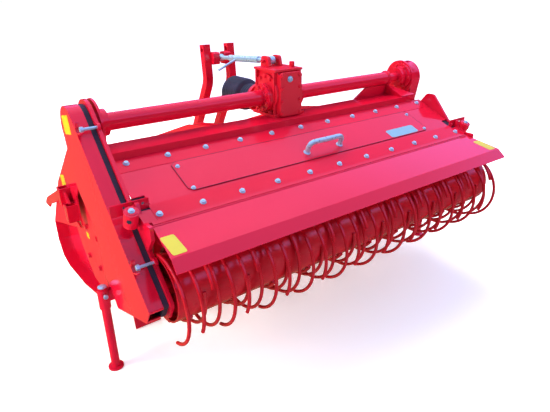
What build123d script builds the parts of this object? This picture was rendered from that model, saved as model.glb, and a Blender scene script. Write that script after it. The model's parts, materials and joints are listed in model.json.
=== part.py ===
from build123d import *
import os
from math import cos, radians, sin

# Spading machine for a three-point hitch, with a digging rotor in front and a driven spike roller behind.
# Millimetres. +X is the machine's right, +Y its travel direction, +Z up. It stands on Z = 0.

# Widths, measured from the middle plane.
PLATE_IN = 1064
PLATE_T = 16
SEAL_T = 24
COVER_DEPTH = 61
RUN_GAP = 10
SLIDE_FIT = 0.3
PLATE_OUT = PLATE_IN + PLATE_T
COVER_IN = PLATE_OUT + SEAL_T
COVER_OUT = COVER_IN + COVER_DEPTH

# Main beam: the frame is set out from its axis.
BEAM_Y, BEAM_Z = -160, 1010
BEAM_SIZE, BEAM_WALL = 160, 8
BEAM_TOP = BEAM_Z + BEAM_SIZE / 2
BEAM_BACK = BEAM_Y - BEAM_SIZE / 2
BEAM_FRONT = BEAM_Y + BEAM_SIZE / 2

# Drive tube, above the beam.
TUBE_FORWARD, TUBE_RISE = 85, 102
TUBE_Y, TUBE_Z = BEAM_Y + TUBE_FORWARD, BEAM_TOP + TUBE_RISE
TUBE_R, TUBE_WALL = 41.25, 6
COLLAR_R, COLLAR_L = 58, 50
TUBE_FLANGE_R, TUBE_FLANGE_T = 76, 14
TUBE_SHORT = 158

# Digging rotor: it rests on two of its rows of spades, so their reach gives its height.
ROTOR_FORWARD = 270
ROTOR_Y = BEAM_Y + ROTOR_FORWARD
SPADE_R = 420
SPADE_ROWS = 8
SPADE_PITCH = 206
SPADE_W, SPADE_T, SPADE_L = 150, 10, 165
SPADE_MARGIN = 40
SPADE_STATIONS = int((2 * (PLATE_IN - SPADE_MARGIN) - SPADE_W) // SPADE_PITCH) + 1
SPADE_ARM_T = 22
ROTOR_TUBE_R, ROTOR_TUBE_WALL = 85, 12
ROTOR_STUB_R = 35
ROTOR_Z = SPADE_R * cos(radians(180 / SPADE_ROWS))

# Hood deck: two bolt rows down its slope, then the flap's hinge, crease and lip.
SHEET_T = 6
ROW1_BACK, ROW1_RISE = 113, 32
ROWS_BACK, ROWS_DROP = 317, 130
HINGE_BACK, HINGE_DROP = 50, 23
CREASE_BACK, CREASE_DROP = 206, 41
LIP_BACK, LIP_DROP = 47, 42
ROW1_Y, ROW1_Z = BEAM_Y - ROW1_BACK, BEAM_Z + ROW1_RISE
ROW2_Y, ROW2_Z = ROW1_Y - ROWS_BACK, ROW1_Z - ROWS_DROP
HINGE_Y, HINGE_Z = ROW2_Y - HINGE_BACK, ROW2_Z - HINGE_DROP
CREASE_Y, CREASE_Z = HINGE_Y - CREASE_BACK, HINGE_Z - CREASE_DROP
STRIP_W, STRIP_T = 62, 5
HATCH_HALF, HATCH_RIM, HATCH_T = 820, 24, 4
HINGE_TUBE_R, HINGE_PIN_R = 11, 8

# Spike roller, hung below the flap's hinge.
DRUM_R, DRUM_WALL = 146, 8
DRUM_GAP = 6
DRUM_HALF = PLATE_IN - DRUM_GAP
TINE_D, TINE_TIP_R, TINE_SWEEP = 14, 241, 172
TINE_FACETS = 8
TINE_PITCH, TINE_MARGIN = 52.5, 8
TINE_STATIONS = int(2 * (DRUM_HALF - TINE_MARGIN) // TINE_PITCH) + 1
TINE_FIRST_TIP = 72
TINE_STEPS = (0, 315, 90, 45)
ROLLER_STUB_R = 30
ROLLER_BACK, FLAP_CLEARANCE = 33, 28
ROLLER_Y, ROLLER_Z = HINGE_Y - ROLLER_BACK, HINGE_Z - FLAP_CLEARANCE - TINE_TIP_R

# Gearbox and power take-off.
BOX_HALF, BOX_H = 75, 245
BOX_BEHIND, BOX_AHEAD = 15, 200
BOX_BACK, BOX_FRONT, BOX_TOP = BEAM_Y - BOX_BEHIND, BEAM_Y + BOX_AHEAD, BEAM_TOP + BOX_H
COVER_T = 15
TOP_PLATE_T = 12
SIDE_BOSS_L = 36
PTO_RISE, PTO_R, PTO_STUB, PTO_SEAT_R, PTO_SEAT_L = 55, 17.4, 100, 22, 170
PTO_Z = BEAM_TOP + PTO_RISE
PTO_BACK = BOX_FRONT + 20
NECK_R, NECK_L, NECK_FLANGE_R, NECK_FLANGE_T = 62, 72, 86, 24
GUARD_BACK = BOX_FRONT + NECK_L + NECK_FLANGE_T
GUARD_R1, GUARD_R2, GUARD_WALL = 72, 98, 5
GUARD_NECK_L, GUARD_STEP_L, GUARD_L = 99, 18, 264

# Hitch.
HITCH_AHEAD, HITCH_BELOW = 1037, 250
HITCH_PIN_Y, HITCH_PIN_Z = BEAM_Y + HITCH_AHEAD, BEAM_Z - HITCH_BELOW
HITCH_HALF, HITCH_GAP, HITCH_PLATE = 412, 55, 20
HITCH_PIN_R, HITCH_PIN_L = 14.2, 72
CROSSBAR_R = 38
PIVOT_INSET = 25
PIVOT_Y, PIVOT_Z = HITCH_PIN_Y - PIVOT_INSET, HITCH_PIN_Z - PIVOT_INSET
MAST_IN, MAST_W, MAST_DEPTH = 65, 50, 50
MAST_TOP = (-255, 690)
MAST_KNEE = (-275, 460)
TOP_BORE = (-258, 657)
TOP_BORE_R = 12.85

# Turnbuckle stay, from a lug on the gearbox to the mast.
STAY_AHEAD, STAY_RISE = 155, 42
STAY_BACK_Y, STAY_BACK_Z = BEAM_Y + STAY_AHEAD, BOX_TOP + STAY_RISE
STAY_ON_MAST = (-296, 607)
STAY_FRONT_Y, STAY_FRONT_Z = PIVOT_Y + STAY_ON_MAST[0], PIVOT_Z + STAY_ON_MAST[1]
STAY_PIN_R, STAY_EYE_R, STAY_EYE_W = 10, 22, 28
STAY_ROD_R, STAY_BARREL_R = 12, 19
LUG_IN, LUG_T = STAY_EYE_W / 2 + 16, 18
CHEEK_T = MAST_IN - STAY_EYE_W / 2 - 4
PIN_PLAY = 3

# Stands.
STAND_BACK = 110
LEG_R, SLEEVE_R, SLEEVE_L = 21, 27, 104
SLEEVE_GAP = 3
STAND_X, STAND_Y = COVER_OUT + SLEEVE_GAP + SLEEVE_R, BEAM_Y - STAND_BACK
SLEEVE_TOP = 466
LEG_TOP = SLEEVE_TOP + 8
FOOT_R, FOOT_T = 38, 10


def across(sketch, x_from, x_to):
    """Extrude a sketch drawn as (y, z) along X."""
    return extrude(Plane.YZ.offset(x_from) * sketch, amount=x_to - x_from)


def rod(y, z, radius, x_from, x_to):
    """A round bar along X."""
    return across(Pos(y, z) * Circle(radius), x_from, x_to)


def lengthwise(x, z, radius, y_from, y_to):
    """A round bar along Y."""
    return Pos(x, (y_from + y_to) / 2, z) * Rot(X=90) * Cylinder(radius, y_to - y_from)


def upright(x, y, radius, z_from, z_to):
    """A round bar along Z."""
    return Pos(x, y, (z_from + z_to) / 2) * Cylinder(radius, z_to - z_from)


def polygon(points):
    """A closed face through flat points with sharp corners."""
    return make_face(Polyline(*points, close=True))


def outline(points, radius):
    """A closed face through (y, z) points, its corners rounded."""
    return make_face(FilletPolyline(*points, radius=radius, close=True))


def shifted(points, y, z):
    """The same (y, z) points set out from another place."""
    return [(y + py, z + pz) for py, pz in points]


def bent_sheet(points, radius, thickness, x_from, x_to):
    """A folded sheet along X whose middle line runs through (y, z) points."""
    return across(trace(FilletPolyline(*points, radius=radius), line_width=thickness), x_from, x_to)


def tilted_plate(corners, thickness):
    """A flat plate whose middle face has these (x, y, z) corners."""
    return extrude(make_face(Polyline(*corners, close=True)), amount=thickness / 2, both=True)


def belt(y1, z1, r1, y2, z2, r2):
    """The face inside a belt round two circles."""
    rims = (Pos(y1, z1) * Circle(r1)) + (Pos(y2, z2) * Circle(r2))
    return make_hull(rims.edges())


def right_of(left):
    """The same piece on the machine's right side."""
    return mirror(left, about=Plane.YZ)


# Side plates: each carries the beam, the hood, the rotor and the roller, and the left one the tube's end too.
# Points are (y, z): nose and head from the tube's axis, tail from the roller's, foot from the rotor's.
HEAD_Y, HEAD_Z = TUBE_Y + 22, TUBE_Z - 15
PLATE_HEAD_R, CASE_HEAD_R = 126, 107
REAR_Y, REAR_Z = -0.7, 0.714
PLATE_TAIL = shifted([(-127, -5), (-77, -93), (305, -235)], ROLLER_Y, ROLLER_Z)
PLATE_FOOT = shifted([(-325, 12), (-143, -119), (178, -198), (510, -233), (635, -213), (696, -118)],
                     ROTOR_Y, ROTOR_Z)
PLATE_NOSE = shifted([(876, -793), (537, -422), (178, -148)], TUBE_Y, TUBE_Z)
LEFT_SHOULDER = (TUBE_Y + 145, TUBE_Z - 117)
RIGHT_EAR = shifted([(33, -12), (-27, 61), (-82, 61)], ROW1_Y, ROW1_Z)
PEAK = shifted([(260, 88), (290, -212), (30, -212), (-85, -62), (-82, -7), (-27, -7), (22, 14), (39, 56),
                (61, 53), (99, 22)], ROW2_Y, ROW2_Z)
RIM = PLATE_NOSE[::-1] + PLATE_FOOT[:0:-1]
RIM_DEPTH, RIM_T = 70, 8
EDGE_R, PEAK_R, CORNER_R = 24, 8, 50
PANEL_T = 6
PANEL = shifted([(176, -150), (535, -424), (573, -463), (375, -532), (170, -552), (170, -392), (103, -315),
                 (48, -305), (98, -190)], TUBE_Y, TUBE_Z)
PANEL_R = 6
FLANK_WEB = shifted([(580, -469), (875, -790), (273, -612)], TUBE_Y, TUBE_Z)
FLANK_WEB_X = RIM_DEPTH - 4, RIM_DEPTH - 4, RIM_DEPTH - 18
FLANK_WEB_T = 6
PLATE_BORES = ((ROTOR_Y, ROTOR_Z, ROTOR_STUB_R), (ROLLER_Y, ROLLER_Z, ROLLER_STUB_R),
               (HINGE_Y, HINGE_Z, HINGE_PIN_R))


def head_start(radius):
    """Where the straight rear edge leaves a head of that radius."""
    return (HEAD_Y + radius * REAR_Y, HEAD_Z + radius * REAR_Z)


def plate_face(top):
    """The plate's face below its top points, with the peak beside the flap's hinge."""
    return outline(PLATE_TAIL + PLATE_FOOT + PLATE_NOSE + top, EDGE_R) + outline(PEAK, PEAK_R)


def left_face():
    head = Pos(HEAD_Y, HEAD_Z) * Circle(PLATE_HEAD_R)
    return head + plate_face([LEFT_SHOULDER, (HEAD_Y, HEAD_Z), head_start(PLATE_HEAD_R)])


def side_plate(face):
    """A plate on the left with its rim and its bearing bores."""
    plate = across(face, -PLATE_OUT, -PLATE_IN)
    plate += bent_sheet(RIM, CORNER_R, RIM_T, -PLATE_OUT - RIM_DEPTH, -PLATE_OUT)
    for y, z, radius in PLATE_BORES:
        plate -= rod(y, z, radius + SLIDE_FIT, -PLATE_OUT, -PLATE_IN)
    return plate


def side_plate_left():
    plate = side_plate(left_face())
    plate += across(outline(PANEL, PANEL_R), -PLATE_OUT - RIM_DEPTH, -PLATE_OUT - RIM_DEPTH + PANEL_T)
    plate += tilted_plate([(-PLATE_OUT - x, y, z) for x, (y, z) in zip(FLANK_WEB_X, FLANK_WEB)], FLANK_WEB_T)
    return plate - rod(TUBE_Y, TUBE_Z, TUBE_R - TUBE_WALL, -PLATE_OUT, -PLATE_IN)


def side_plate_right():
    return right_of(side_plate(plate_face(RIGHT_EAR)))


# Left chain case: a formed cover over the roller's chain, held on a rubber seal, its lower end cut off square.
CASE_WALL, SEAL_W, SEAL_INSET = 5, 14, 2
CASE_TAIL = shifted([(-111, -10), (-63, -86), (134, -158), (305, -222), (328, -195), (373, -140), (433, -130)],
                    ROLLER_Y, ROLLER_Z)
CASE_FRONT = shifted([(-160, -552), (-125, -432), (35, -312), (90, -192), (115, -72)], TUBE_Y, TUBE_Z)
DRAIN_SLOT = shifted([(165, -95), (205, -40)], ROLLER_Y, ROLLER_Z)


def case_face():
    edge = [head_start(CASE_HEAD_R)] + CASE_TAIL + CASE_FRONT + [(HEAD_Y, HEAD_Z)]
    return Pos(HEAD_Y, HEAD_Z) * Circle(CASE_HEAD_R) + outline(edge, 8)


def left_chain_cover():
    face = case_face()
    shell = across(face, -COVER_OUT, -COVER_IN)
    shell -= across(offset(face, -CASE_WALL), -COVER_OUT + CASE_WALL, -COVER_IN)
    mouth = Line(*CASE_TAIL[:2])
    opening = trace(Line(mouth @ 0.15, mouth @ 0.85), line_width=4 * CASE_WALL)
    shell -= across(opening, -COVER_OUT + CASE_WALL, -COVER_IN)
    return shell - across(trace(Line(*DRAIN_SLOT), line_width=4), -COVER_OUT, -COVER_OUT + CASE_WALL)


def left_seal():
    face = case_face()
    ring = offset(face, -SEAL_INSET) - offset(face, -SEAL_INSET - SEAL_W)
    return across(ring, -COVER_IN, -PLATE_OUT)


# Right chain case: drives the digging rotor from the drive tube's end. Its head stands clear of the side plate.
ROTOR_CASE_R, ROTOR_CASE_X = 125, 80
CASE_DISC_R = CASE_HEAD_R + 8
ROTOR_STUB_REACH = ROTOR_CASE_X - 20


def rotor_chain_case():
    face = belt(HEAD_Y, HEAD_Z, CASE_HEAD_R, ROTOR_Y, ROTOR_Z, ROTOR_CASE_R)
    case = across(face, PLATE_OUT, PLATE_OUT + ROTOR_CASE_X)
    case += rod(HEAD_Y, HEAD_Z, CASE_DISC_R, PLATE_IN, PLATE_OUT)
    blind = PLATE_OUT + ROTOR_CASE_X - CASE_WALL
    return case - rod(ROTOR_Y, ROTOR_Z, ROTOR_STUB_R + SLIDE_FIT, PLATE_OUT, blind)


# Bearings: a carrier with a face plate for the rotor's left end, a round housing for the roller's right end.
BEARING_L, CARRIER_T = 28, 12
ROTOR_BEARING_R, ROLLER_BEARING_R = 92, 76
CARRIER = shifted([(-165, 440), (-35, 463), (50, 441), (230, 352), (260, 172), (190, 42), (40, -98),
                   (-110, -108), (-190, -58)], ROTOR_Y, ROTOR_Z)


def rotor_bearing_left():
    housing = rod(ROTOR_Y, ROTOR_Z, ROTOR_BEARING_R, -PLATE_OUT - BEARING_L, -PLATE_OUT)
    housing += across(outline(CARRIER, 30), -PLATE_OUT - BEARING_L - CARRIER_T, -PLATE_OUT - BEARING_L)
    return housing - rod(ROTOR_Y, ROTOR_Z, ROTOR_STUB_R + SLIDE_FIT, -PLATE_OUT - BEARING_L, -PLATE_OUT)


def roller_bearing_right():
    housing = rod(ROLLER_Y, ROLLER_Z, ROLLER_BEARING_R, PLATE_OUT, PLATE_OUT + BEARING_L)
    return housing - rod(ROLLER_Y, ROLLER_Z, ROLLER_STUB_R + SLIDE_FIT, PLATE_OUT, PLATE_OUT + BEARING_L)


# Side bracket on the left flank: two short sleeves and a hooked arm. Sleeve columns are y, low z, high z.
BRACKET_SLEEVE, BRACKET_BORE = 54, 42
BRACKET_X = PLATE_OUT + RIM_DEPTH + BRACKET_SLEEVE / 2
BRACKET_SLEEVES = shifted([(310, -467), (215, -532)], TUBE_Y, TUBE_Z)
BRACKET_SLEEVE_L = 92
HOOK_T = 12
HOOK = shifted([(325, -380), (785, -586), (860, -647), (765, -647), (730, -617), (606, -566), (395, -464),
                (325, -457)], TUBE_Y, TUBE_Z)


def side_bracket_left():
    bracket = across(outline(HOOK, 5), -BRACKET_X - HOOK_T / 2, -BRACKET_X + HOOK_T / 2)
    (y1, low1), (y2, low2) = BRACKET_SLEEVES
    web = [(y1, low1), (y2, low2), (y2, low2 + BRACKET_SLEEVE_L), (y1, low1 + BRACKET_SLEEVE_L)]
    bracket += across(polygon(web), -BRACKET_X - HOOK_T / 2, -BRACKET_X + HOOK_T / 2)
    for y, low in BRACKET_SLEEVES:
        middle = Pos(-BRACKET_X, y, low + BRACKET_SLEEVE_L / 2)
        bracket += middle * Box(BRACKET_SLEEVE, BRACKET_SLEEVE, BRACKET_SLEEVE_L)
        bracket -= middle * Box(BRACKET_BORE, BRACKET_BORE, BRACKET_SLEEVE_L)
    return bracket


# Main beam between the side plates, its right end cut down to the plate's top edge and closed.
BEAM_CUT_L, BEAM_CUT_H = 115, 50


def main_beam():
    beam = across(Pos(BEAM_Y, BEAM_Z) * Rectangle(BEAM_SIZE, BEAM_SIZE), -PLATE_IN, PLATE_IN)
    bore = BEAM_SIZE - 2 * BEAM_WALL
    cut = PLATE_IN - BEAM_CUT_L
    beam -= across(Pos(BEAM_Y, BEAM_Z) * Rectangle(bore, bore), -PLATE_IN, cut - BEAM_WALL)
    corner = polygon([(cut, BEAM_TOP), (PLATE_IN, BEAM_TOP), (PLATE_IN, BEAM_TOP - BEAM_CUT_H)])
    return beam - extrude(Plane.XZ.offset(-BEAM_FRONT) * corner, amount=BEAM_SIZE)


# Hood deck: a sloping sheet from the beam to the flap's hinge, measured along its slope from bolt row 1.
ROWS = Vector(-ROWS_BACK, -ROWS_DROP)
SLOPE = ROWS.normalized()
RISE = Vector(SLOPE.Y, -SLOPE.X)
DECK_FROM = (BEAM_BACK - ROW1_Y) / SLOPE.X
DECK_TO = ROWS.length + STRIP_W / 2
DECK_LIP = 30
HATCH_FROM, HATCH_TO = 58, 262
HATCH_CORNER = 22
NOTCH_FROM, NOTCH_TO, NOTCH_W = 216, 300, 54


def on_deck(along, above):
    """The (y, z) point that lies so far down the deck from row 1 and so far above its top face."""
    point = Vector(ROW1_Y, ROW1_Z) + SLOPE * along + RISE * above
    return (point.X, point.Y)


def deck_face(along_from, along_to, low, high):
    corners = ((along_from, low), (along_to, low), (along_to, high), (along_from, high))
    return polygon([on_deck(*corner) for corner in corners])


def deck_slab(along_from, along_to, low, high, half):
    return across(deck_face(along_from, along_to, low, high), -half, half)


def hood_deck():
    front_low = (BEAM_BACK, on_deck(DECK_FROM, 0)[1] - SHEET_T / -SLOPE.X)
    profile = polygon([on_deck(DECK_FROM, 0), on_deck(DECK_TO, 0), on_deck(DECK_TO, -SHEET_T), front_low])
    sheet = across(profile, -PLATE_IN, PLATE_IN)
    rim_half = HATCH_HALF - HATCH_RIM
    sheet -= deck_slab(HATCH_FROM + HATCH_RIM, HATCH_TO - HATCH_RIM, -2 * SHEET_T, SHEET_T, rim_half)
    notch = deck_face(NOTCH_FROM, NOTCH_TO, -2 * SHEET_T, SHEET_T)
    for side in (-1, 1):
        sheet -= across(notch, side * (PLATE_IN - NOTCH_W), side * PLATE_IN)
    end_y, end_z = on_deck(DECK_TO, -SHEET_T / 2)
    lip = Pos(end_y + SHEET_T / 2, end_z - DECK_LIP / 2) * Rectangle(SHEET_T, DECK_LIP)
    return sheet + across(lip, -PLATE_IN, PLATE_IN)


def hood_strip(along):
    return deck_slab(along - STRIP_W / 2, along + STRIP_W / 2, 0, STRIP_T, PLATE_IN)


def hatch_cover():
    cover = deck_slab(HATCH_FROM, HATCH_TO, 0, HATCH_T, HATCH_HALF)
    corners = cover.edges().filter_by(lambda edge: abs(edge.length - HATCH_T) < SLIDE_FIT)
    return chamfer(corners, HATCH_CORNER)


# Bent tube handle on the hatch, its bends made of two short mitred lengths.
HANDLE_SPAN, HANDLE_H, HANDLE_R, HANDLE_AT, HANDLE_BEND = 230, 62, 12, 206, 26


def hatch_handle():
    foot = on_deck(HANDLE_AT, HATCH_T)
    wall = Plane(origin=(0, foot[0], foot[1]), x_dir=(1, 0, 0), z_dir=(0, -RISE.Y, RISE.X))
    half = HANDLE_SPAN / 2
    bends = [(-half, 0), (-half, HANDLE_H - HANDLE_BEND), (-half + HANDLE_BEND, HANDLE_H),
             (half - HANDLE_BEND, HANDLE_H), (half, HANDLE_H - HANDLE_BEND), (half, 0)]
    path = wall * Polyline(*bends)
    return sweep(Plane(path @ 0, z_dir=path % 0) * Circle(HANDLE_R), path, transition=Transition.RIGHT)


# Perforated stop plates, each set on the peak of a side plate above the notch in the deck.
STOP_Y, STOP_LOW, STOP_W, STOP_H, STOP_T = 60, 10, 162, 50, 6
STOP_FROM = PLATE_IN - 48
STOP_HOLES, STOP_HOLE_R, STOP_HOLE_PITCH, STOP_HOLE_FIRST = 3, 7, 40, 26


def flap_stop_left():
    y, low = ROW2_Y + STOP_Y, ROW2_Z + STOP_LOW
    stop = Pos(-STOP_FROM - STOP_W / 2, y, low + STOP_H / 2) * Box(STOP_W, STOP_T, STOP_H)
    for hole in range(STOP_HOLES):
        x = STOP_FROM + STOP_HOLE_FIRST + hole * STOP_HOLE_PITCH
        stop -= lengthwise(-x, low + STOP_H * 0.6, STOP_HOLE_R, y - STOP_T, y + STOP_T)
    return stop - across(outline(PEAK, PEAK_R), -PLATE_OUT, -PLATE_IN)


# Sockets on the side plates' rear edges, beside the flap's hinge.
SOCKET_R, SOCKET_BORE_R, SOCKET_L, SOCKET_AT = 31, 18, 72, 322


def hinge_socket_left():
    place = on_deck(SOCKET_AT, 0)
    axis = Plane(origin=(-PLATE_OUT - SOCKET_R, *place), x_dir=(1, 0, 0), z_dir=(0, RISE.X, RISE.Y))
    socket = axis * (Cylinder(SOCKET_R, SOCKET_L) - Cylinder(SOCKET_BORE_R, SOCKET_L))
    return socket - across(Pos(*place) * Rectangle(4 * SOCKET_L, 4 * SOCKET_L), -PLATE_OUT, -PLATE_IN)


# Front hood over the rotor.
FRONT_HOOD = shifted([(0, -64), (210, -64), (410, -148), (520, -270), (680, -425)], BEAM_FRONT, BEAM_Z)
HOOD_BEND_R = 60


def front_hood():
    return bent_sheet(FRONT_HOOD, HOOD_BEND_R, SHEET_T, -PLATE_IN, PLATE_IN)


# Rear flap on its hinge tube.
FLAP_HALF = PLATE_IN - RUN_GAP
FLAP_FLARE = 30
FLAP_BEND_R = 8


def rear_flap():
    points = [(HINGE_Y, HINGE_Z), (CREASE_Y, CREASE_Z), (CREASE_Y - LIP_BACK, CREASE_Z - LIP_DROP)]
    lip_half = FLAP_HALF + FLAP_FLARE
    sheet = bent_sheet(points, FLAP_BEND_R, SHEET_T, -lip_half, lip_half)
    back = CREASE_Y - LIP_BACK - SHEET_T
    front = HINGE_Y + SHEET_T
    wide = polygon([(-FLAP_HALF, front), (FLAP_HALF, front), (lip_half, back), (-lip_half, back)])
    sheet &= Pos(0, 0, CREASE_Z) * extrude(wide, amount=2 * CREASE_BACK, both=True)
    sheet += rod(HINGE_Y, HINGE_Z, HINGE_TUBE_R, -FLAP_HALF, FLAP_HALF)
    return sheet + rod(HINGE_Y, HINGE_Z, HINGE_PIN_R, -PLATE_OUT, PLATE_OUT)


# Gearbox: a ribbed casting with a round boss for each drive tube and a neck for the power take-off.
BOX_MIDDLE = (BOX_BACK + BOX_FRONT) / 2
BOX_DEPTH = BOX_FRONT - BOX_BACK
FOOT_SPREAD, BOX_FOOT_T, BOX_ROUND = 30, 16, 24
RIB_T, RIB_OUT = 12, 20
SIDE_DISC_R, SIDE_DISC_T = 106, 14


def gearbox_housing():
    body = Pos(0, BOX_MIDDLE, (BEAM_TOP + BOX_TOP) / 2) * Box(2 * BOX_HALF, BOX_DEPTH, BOX_H)
    body = fillet(body.edges().filter_by(Axis.X), BOX_ROUND)
    body += rod(TUBE_Y, TUBE_Z, TUBE_FLANGE_R, -BOX_HALF - SIDE_BOSS_L, BOX_HALF + SIDE_BOSS_L)
    disc_x = BOX_HALF + SIDE_DISC_T
    body += rod(BOX_MIDDLE, (BEAM_TOP + BOX_TOP) / 2, SIDE_DISC_R, -disc_x, disc_x)
    for y in (BOX_BACK + BOX_ROUND, BOX_FRONT - BOX_ROUND):
        body += Pos(0, y, (BEAM_TOP + BOX_TOP) / 2) * Box(2 * (BOX_HALF + RIB_OUT), RIB_T, BOX_H)
    body += lengthwise(0, PTO_Z, NECK_R, BOX_FRONT - BOX_ROUND, BOX_FRONT + NECK_L)
    body += lengthwise(0, PTO_Z, NECK_FLANGE_R, BOX_FRONT + NECK_L, GUARD_BACK)
    foot = Box(2 * (BOX_HALF + FOOT_SPREAD), BOX_DEPTH, BOX_FOOT_T)
    body += Pos(0, BOX_MIDDLE, BEAM_TOP + BOX_FOOT_T / 2) * foot
    return body - lengthwise(0, PTO_Z, PTO_SEAT_R + SLIDE_FIT, PTO_BACK - SLIDE_FIT, GUARD_BACK)


def gearbox_rear_cover():
    plate = Pos(0, BOX_BACK - COVER_T / 2, (BEAM_TOP + BOX_TOP) / 2) * Box(2 * BOX_HALF, COVER_T, BOX_H - 6)
    return fillet(plate.edges().filter_by(Axis.Y), 20)


BREATHER_R, BREATHER_H, BREATHER_Y = 15, 24, -50
LUG_FOOT, LUG_TOP, LUG_OVER, LUG_ROUND = 88, 30, 26, 14
LUG_PIN_OUT = 20


def gearbox_top_plate():
    plate = Pos(0, BOX_MIDDLE, BOX_TOP + TOP_PLATE_T / 2)
    plate *= Box(2 * (BOX_HALF + RIB_OUT), BOX_DEPTH - 10, TOP_PLATE_T)
    toe = BOX_FRONT - 5
    brow = STAY_BACK_Z + LUG_OVER
    ear = outline([(toe - LUG_FOOT, BOX_TOP + 2), (toe, BOX_TOP + 2), (STAY_BACK_Y + LUG_TOP, brow),
                   (STAY_BACK_Y - LUG_TOP, brow)], LUG_ROUND)
    for side in (-1, 1):
        plate += across(ear, side * LUG_IN, side * (LUG_IN + LUG_T))
    cap_y, cap_top = BOX_MIDDLE + BREATHER_Y, BOX_TOP + TOP_PLATE_T + BREATHER_H
    plate += upright(BOX_HALF - BREATHER_R, cap_y, BREATHER_R, BOX_TOP + 2, cap_top)
    reach = LUG_IN + LUG_T + LUG_PIN_OUT
    return plate + rod(STAY_BACK_Y, STAY_BACK_Z, STAY_PIN_R, -reach, reach)


# Drive tubes: the left one ends in a collar behind a round plate, the right one in a shaft and a bearing hub.
TUBE_START = BOX_HALF + SIDE_BOSS_L
HEAD_DISC_GAP, HEAD_DISC_T = 14, 12
END_CAP_R, END_CAP_T = 50, 10
END_SHAFT_R = 27
HUB_R, HUB_L, HUB_FLANGE_R, HUB_FLANGE_T = 60, 62, 84, 18


def drive_tube_left():
    tube = rod(TUBE_Y, TUBE_Z, TUBE_R, -PLATE_IN, -TUBE_START)
    tube += rod(TUBE_Y, TUBE_Z, COLLAR_R, -PLATE_IN, -PLATE_IN + COLLAR_L)
    disc = -PLATE_IN + HEAD_DISC_GAP
    tube += rod(HEAD_Y, HEAD_Z, PLATE_HEAD_R, disc, disc + HEAD_DISC_T)
    tube += rod(TUBE_Y, TUBE_Z, TUBE_FLANGE_R, -TUBE_START - TUBE_FLANGE_T, -TUBE_START)
    tube -= rod(TUBE_Y, TUBE_Z, TUBE_R - TUBE_WALL, -PLATE_IN, -TUBE_START)
    return tube - main_beam()


def drive_tube_right():
    end = PLATE_IN - TUBE_SHORT
    tube = rod(TUBE_Y, TUBE_Z, TUBE_R, TUBE_START, end)
    tube += rod(TUBE_Y, TUBE_Z, TUBE_FLANGE_R, TUBE_START, TUBE_START + TUBE_FLANGE_T)
    tube -= rod(TUBE_Y, TUBE_Z, TUBE_R - TUBE_WALL, TUBE_START, end)
    tube += rod(TUBE_Y, TUBE_Z, END_CAP_R, end - END_CAP_T, end)
    tube += rod(TUBE_Y, TUBE_Z, END_SHAFT_R, end - END_CAP_T, PLATE_IN)
    tube += rod(TUBE_Y, TUBE_Z, HUB_R, PLATE_IN - HUB_L, PLATE_IN)
    return tube + rod(TUBE_Y, TUBE_Z, HUB_FLANGE_R, PLATE_IN - HUB_FLANGE_T, PLATE_IN)


# Support under the right tube's end: an upright web on the beam, and a fin with a sloping skirt behind it.
WEB_LOW, WEB_HIGH, GUSSET_T = 304, 202, 12
FIN_BACK = BEAM_BACK + 8
SKIRT_W = 120


def tube_gusset_right():
    end = PLATE_IN - TUBE_SHORT
    low, high = BEAM_TOP, TUBE_Z - TUBE_R
    web = polygon([(end - WEB_LOW, low), (end, low), (end, high), (end - WEB_HIGH, high)])
    gusset = extrude(Plane.XZ.offset(-TUBE_Y) * web, amount=GUSSET_T)
    fin = polygon([(TUBE_Y, low), (TUBE_Y, high), (FIN_BACK, low)])
    gusset += across(fin, end - GUSSET_T, end)
    skirt = [(end - GUSSET_T, TUBE_Y, high), (end - GUSSET_T, FIN_BACK, low), (end + SKIRT_W, FIN_BACK, low)]
    gusset += tilted_plate(skirt, GUSSET_T)
    return gusset - drive_tube_right() - main_beam()


# Power take-off stub and its bell-shaped guard.
def pto_guard():
    step = GUARD_BACK + GUARD_NECK_L
    end = GUARD_BACK + GUARD_L
    outer = [(GUARD_R1, GUARD_BACK), (GUARD_R1, step), (GUARD_R2, step + GUARD_STEP_L), (GUARD_R2, end)]
    inner = [(r - GUARD_WALL, y + (GUARD_WALL / 2 if GUARD_BACK < y < end else 0)) for r, y in reversed(outer)]
    return Pos(0, 0, PTO_Z) * revolve(make_face(Polyline(*outer, *inner, close=True)), axis=Axis.Y)


def pto_shaft():
    shoulder = PTO_BACK + PTO_SEAT_L
    journal = lengthwise(0, PTO_Z, PTO_SEAT_R, PTO_BACK, shoulder)
    return journal + lengthwise(0, PTO_Z, PTO_R, shoulder, shoulder + PTO_STUB)


# Hitch: two double-plate arms with lower pins, the cross bar and the mast that tilts on it.
ARM_ROOT = shifted([(0, 66), (380, 0)], BEAM_FRONT, BEAM_Z)
ARM_EYE = shifted([(10, 42), (40, 0), (8, -70), (-60, -70)], HITCH_PIN_Y, HITCH_PIN_Z)
ARM_UNDER = shifted([(500, -148), (230, -52), (0, -46)], BEAM_FRONT, BEAM_Z)
ARM_IN = HITCH_HALF - 2 * HITCH_PLATE - HITCH_GAP


def hitch_arm_left():
    face = polygon(ARM_ROOT + ARM_EYE + ARM_UNDER)
    arm = across(face, -ARM_IN - HITCH_PLATE, -ARM_IN)
    arm += across(face, -HITCH_HALF, -HITCH_HALF + HITCH_PLATE)
    return arm + rod(HITCH_PIN_Y, HITCH_PIN_Z, HITCH_PIN_R, -HITCH_HALF - HITCH_PIN_L, -ARM_IN)


def hitch_crossbar():
    return rod(PIVOT_Y, PIVOT_Z, CROSSBAR_R, -ARM_IN, ARM_IN)


MAST_BEND_R, MAST_BOSS = 120, 16


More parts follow.
